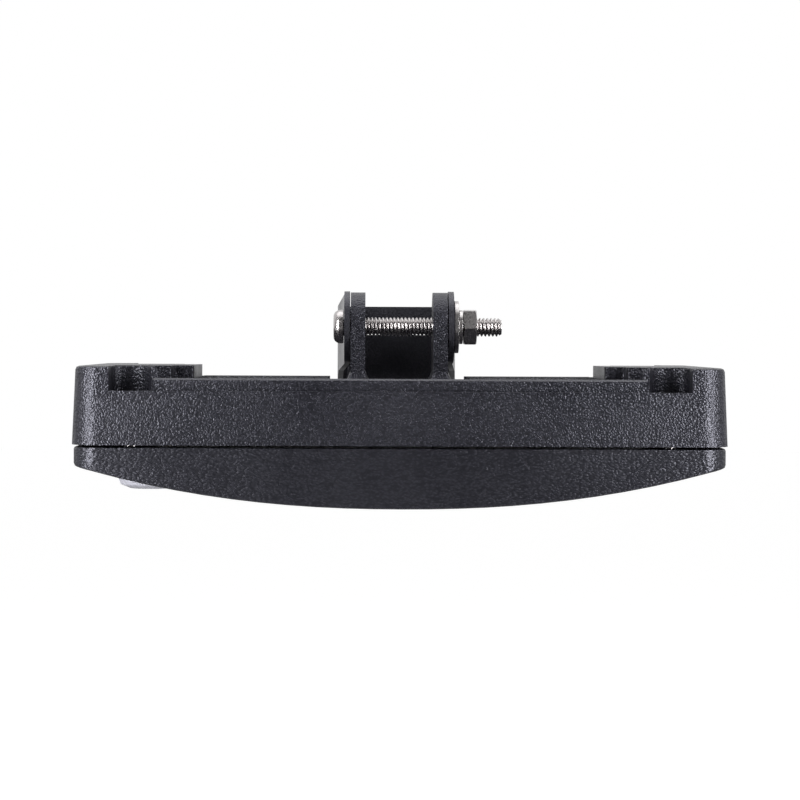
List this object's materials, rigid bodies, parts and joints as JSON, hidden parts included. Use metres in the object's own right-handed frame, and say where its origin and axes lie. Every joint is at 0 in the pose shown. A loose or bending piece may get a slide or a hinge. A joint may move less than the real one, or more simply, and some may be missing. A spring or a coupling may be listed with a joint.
{
  "type": "linear floodlight",
  "caption": "Long outdoor floodlight head with a finned cast back, crowned front frame and recessed glass, tilting on a bolt through cast ears in a bent strap bracket.",
  "frame": {"origin": "centre of the strap bracket's outer web face, where it meets what it is fixed to", "axes": "+X along the lamp head, towards the bolt's nut; +Y from the head's near long side towards the bracket's web; +Z towards the head's back, away from its light"},
  "size_m": [0.212, 0.1277, 0.0718],
  "materials": {
    "bracket": "textured dark powder coat on sheet steel",
    "clip_screw_1": "plain steel",
    "clip_screw_2": "plain steel",
    "clip_screw_3": "plain steel",
    "clip_screw_4": "plain steel",
    "driver": "potted case",
    "driver_screw_1": "plain steel",
    "driver_screw_2": "plain steel",
    "flat_washer": "plain stainless steel, stamped",
    "frame_gasket": "black silicone rubber",
    "frame_screw_1": "plain stainless steel",
    "frame_screw_2": "plain stainless steel",
    "frame_screw_3": "plain stainless steel",
    "frame_screw_4": "plain stainless steel",
    "front_frame": "textured graphite powder coat on die-cast aluminium",
    "gland_body": "black nylon",
    "gland_cap": "black nylon",
    "gland_locknut": "black nylon",
    "gland_seal": "black rubber",
    "glass_clip_1": "plain steel",
    "glass_clip_2": "plain steel",
    "glass_clip_3": "plain steel",
    "glass_clip_4": "plain steel",
    "glass_lens": "clear tempered glass",
    "hex_nut": "plain stainless steel",
    "led_board": "white solder mask with domed light packages",
    "lens_gasket": "black silicone rubber",
    "lock_washer": "plain stainless spring steel",
    "rear_housing": "textured graphite powder coat on die-cast aluminium",
    "reflector": "metallised moulding",
    "reflector_screw_1": "plain steel",
    "reflector_screw_2": "plain steel",
    "reflector_screw_3": "plain steel",
    "reflector_screw_4": "plain steel",
    "sensor_base": "black polycarbonate",
    "sensor_cell": "coated light cell",
    "sensor_cover": "textured grey polycarbonate",
    "sensor_nut": "plain brass",
    "terminal_block": "natural nylon",
    "thermal_pad": "matt grey gap pad",
    "tilt_bolt": "plain stainless steel, rolled thread",
    "vent_plug": "black nylon"
  },
  "bodies": {
    "strap": {"bracket": "bracket", "tilt_bolt": "tilt_bolt", "flat_washer": "flat_washer", "lock_washer": "lock_washer", "hex_nut": "hex_nut"},
    "lamp_head": {"clip_screw_1": "clip_screw_1", "clip_screw_2": "clip_screw_2", "clip_screw_3": "clip_screw_3", "clip_screw_4": "clip_screw_4", "driver": "driver", "driver_screw_1": "driver_screw_1", "driver_screw_2": "driver_screw_2", "frame_gasket": "frame_gasket", "frame_screw_1": "frame_screw_1", "frame_screw_2": "frame_screw_2", "frame_screw_3": "frame_screw_3", "frame_screw_4": "frame_screw_4", "front_frame": "front_frame", "gland_body": "gland_body", "gland_cap": "gland_cap", "gland_locknut": "gland_locknut", "gland_seal": "gland_seal", "glass_clip_1": "glass_clip_1", "glass_clip_2": "glass_clip_2", "glass_clip_3": "glass_clip_3", "glass_clip_4": "glass_clip_4", "glass_lens": "glass_lens", "led_board": "led_board", "lens_gasket": "lens_gasket", "rear_housing": "rear_housing", "reflector": "reflector", "reflector_screw_1": "reflector_screw_1", "reflector_screw_2": "reflector_screw_2", "reflector_screw_3": "reflector_screw_3", "reflector_screw_4": "reflector_screw_4", "sensor_base": "sensor_base", "sensor_cell": "sensor_cell", "sensor_cover": "sensor_cover", "sensor_nut": "sensor_nut", "terminal_block": "terminal_block", "thermal_pad": "thermal_pad", "vent_plug": "vent_plug"}
  },
  "joints": [
    {"name": "tilt", "type": "hinge", "parent": "strap", "child": "lamp_head", "pos_m": [0, -0.07187, 0.00439], "axis": [-1, 0, 0], "range_deg": [0, 180]}
  ]
}
